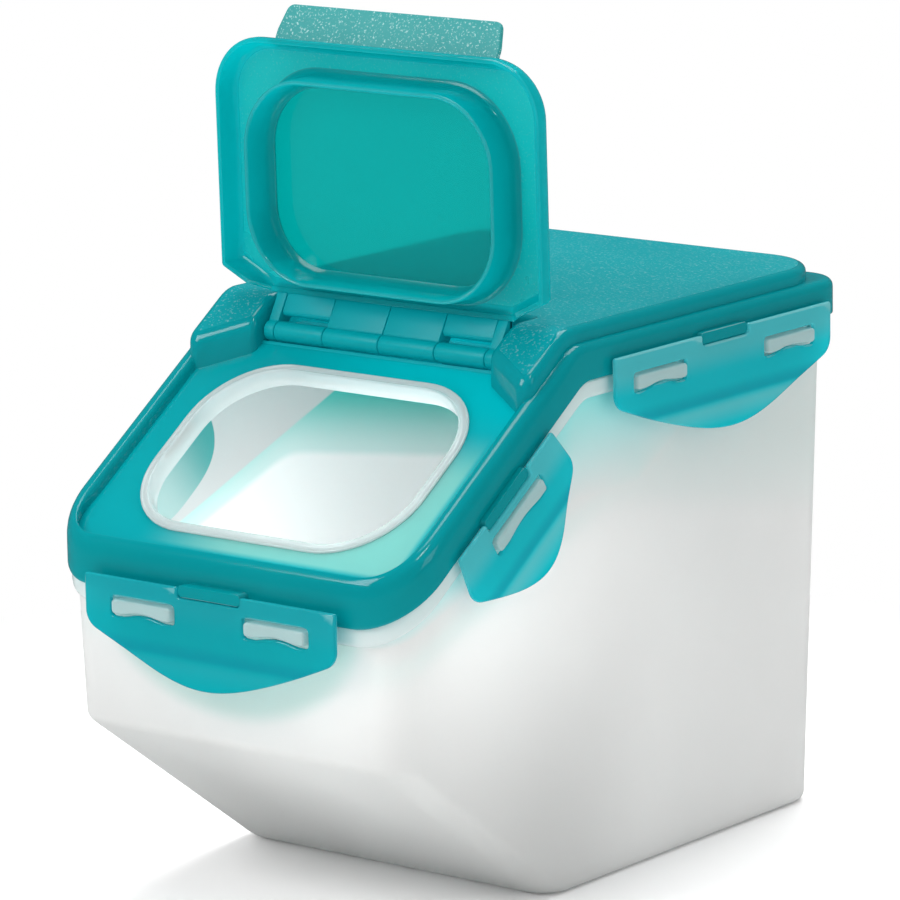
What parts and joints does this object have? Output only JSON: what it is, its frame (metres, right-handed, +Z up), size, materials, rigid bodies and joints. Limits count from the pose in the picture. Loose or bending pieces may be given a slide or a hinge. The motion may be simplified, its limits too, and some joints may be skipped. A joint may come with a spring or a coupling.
{
  "type": "cereal container with flip spout",
  "caption": "Frosted bin with a sloped front, a latched teal lid and a flip lid that closes a sealed pouring mouth.",
  "frame": {"origin": "On the floor under the middle of the lid's width and length, at the foot of the bin.", "axes": "+Z is up, -Y is the sloped pouring front, +X is the right-hand side seen from the front facing away, and X = 0 is the mirror plane."},
  "size_m": [0.172, 0.2784, 0.3042],
  "materials": {
    "bin": "frosted translucent white",
    "lid": "translucent teal, finely grained on the raised panel",
    "flip_lid": "translucent teal, smooth with a grained tab",
    "latch": "translucent teal, smooth",
    "seal": "milky silicone"
  },
  "bodies": {
    "container": {"bin": "bin", "lid": "lid", "lid_gasket": "seal", "spout_seal": "seal", "hinge_pin": "lid"},
    "flip_lid": {"flip_lid": "flip_lid"},
    "latch_front": {"latch_front": "latch"},
    "latch_rear": {"latch_rear": "latch"},
    "latch_right_rear": {"latch_right_rear": "latch"},
    "latch_left_rear": {"latch_left_rear": "latch"},
    "latch_right_front": {"latch_right_front": "latch"},
    "latch_left_front": {"latch_left_front": "latch"}
  },
  "joints": [
    {"name": "flip_lid_hinge", "type": "hinge", "parent": "container", "child": "flip_lid", "pos_m": [0, -0.0392, 0.18848], "axis": [1, 0, 0], "range_deg": [0, 123]},
    {"name": "latch_front_hinge", "type": "hinge", "parent": "container", "child": "latch_front", "pos_m": [0, -0.13518, 0.11794], "axis": [-1, 0, 0], "range_deg": [0, 110]},
    {"name": "latch_rear_hinge", "type": "hinge", "parent": "container", "child": "latch_rear", "pos_m": [0, 0.13518, 0.1873], "axis": [1, 0, 0], "range_deg": [0, 110]},
    {"name": "latch_right_rear_hinge", "type": "hinge", "parent": "container", "child": "latch_right_rear", "pos_m": [0.082, 0.04998, 0.1873], "axis": [0, -1, 0], "range_deg": [0, 110]},
    {"name": "latch_left_rear_hinge", "type": "hinge", "parent": "container", "child": "latch_left_rear", "pos_m": [-0.082, 0.04998, 0.1873], "axis": [0, 1, 0], "range_deg": [0, 110]},
    {"name": "latch_right_front_hinge", "type": "hinge", "parent": "container", "child": "latch_right_front", "pos_m": [0.082, -0.0762, 0.15076], "axis": [0, -0.8271, -0.5621], "range_deg": [0, 110]},
    {"name": "latch_left_front_hinge", "type": "hinge", "parent": "container", "child": "latch_left_front", "pos_m": [-0.082, -0.0762, 0.15076], "axis": [0, 0.8271, 0.5621], "range_deg": [0, 110]}
  ]
}
